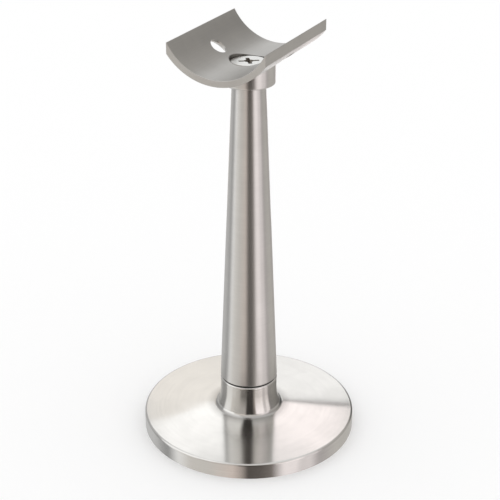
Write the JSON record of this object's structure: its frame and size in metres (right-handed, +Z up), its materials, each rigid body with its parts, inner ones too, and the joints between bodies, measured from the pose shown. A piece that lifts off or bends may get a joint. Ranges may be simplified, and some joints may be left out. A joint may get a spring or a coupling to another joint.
{
  "type": "rail pedestal bracket",
  "caption": "Floor pedestal with a trumpet base, tapered post and an open half-pipe saddle that swivels to seat and screw down a round rail.",
  "frame": {"origin": "centre of the base's underside, on the floor", "axes": "+Z up along the post, +Y along the rail that lies in the saddle, +X across the rail"},
  "size_m": [0.1016, 0.1016, 0.1948],
  "materials": {
    "base_satin": "satin, turned in fine circles",
    "post_satin": "satin, turned in fine circles",
    "collar_satin": "satin, turned in fine circles",
    "saddle_satin": "satin, brushed straight",
    "screw_bright": "bright, fine turning marks",
    "plain_steel": "zinc plated, dull",
    "seam_ring": "matte black nylon"
  },
  "bodies": {
    "pedestal": {"floor_plate": "plain_steel", "anchor_stud": "plain_steel", "stud_spring_washer": "plain_steel", "stud_nut": "plain_steel", "base_flange": "base_satin", "seam_washer": "seam_ring", "post_tube": "post_satin", "post_bottom_plug": "plain_steel", "post_top_plug": "plain_steel", "swivel_washer": "seam_ring", "saddle_screw": "screw_bright"},
    "saddle_head": {"saddle_collar": "collar_satin", "saddle_plate": "saddle_satin"}
  },
  "joints": [
    {"name": "saddle_swivel", "type": "hinge", "parent": "pedestal", "child": "saddle_head", "pos_m": [0, 0, 0.175], "axis": [0, 0, 1], "continuous": true}
  ]
}
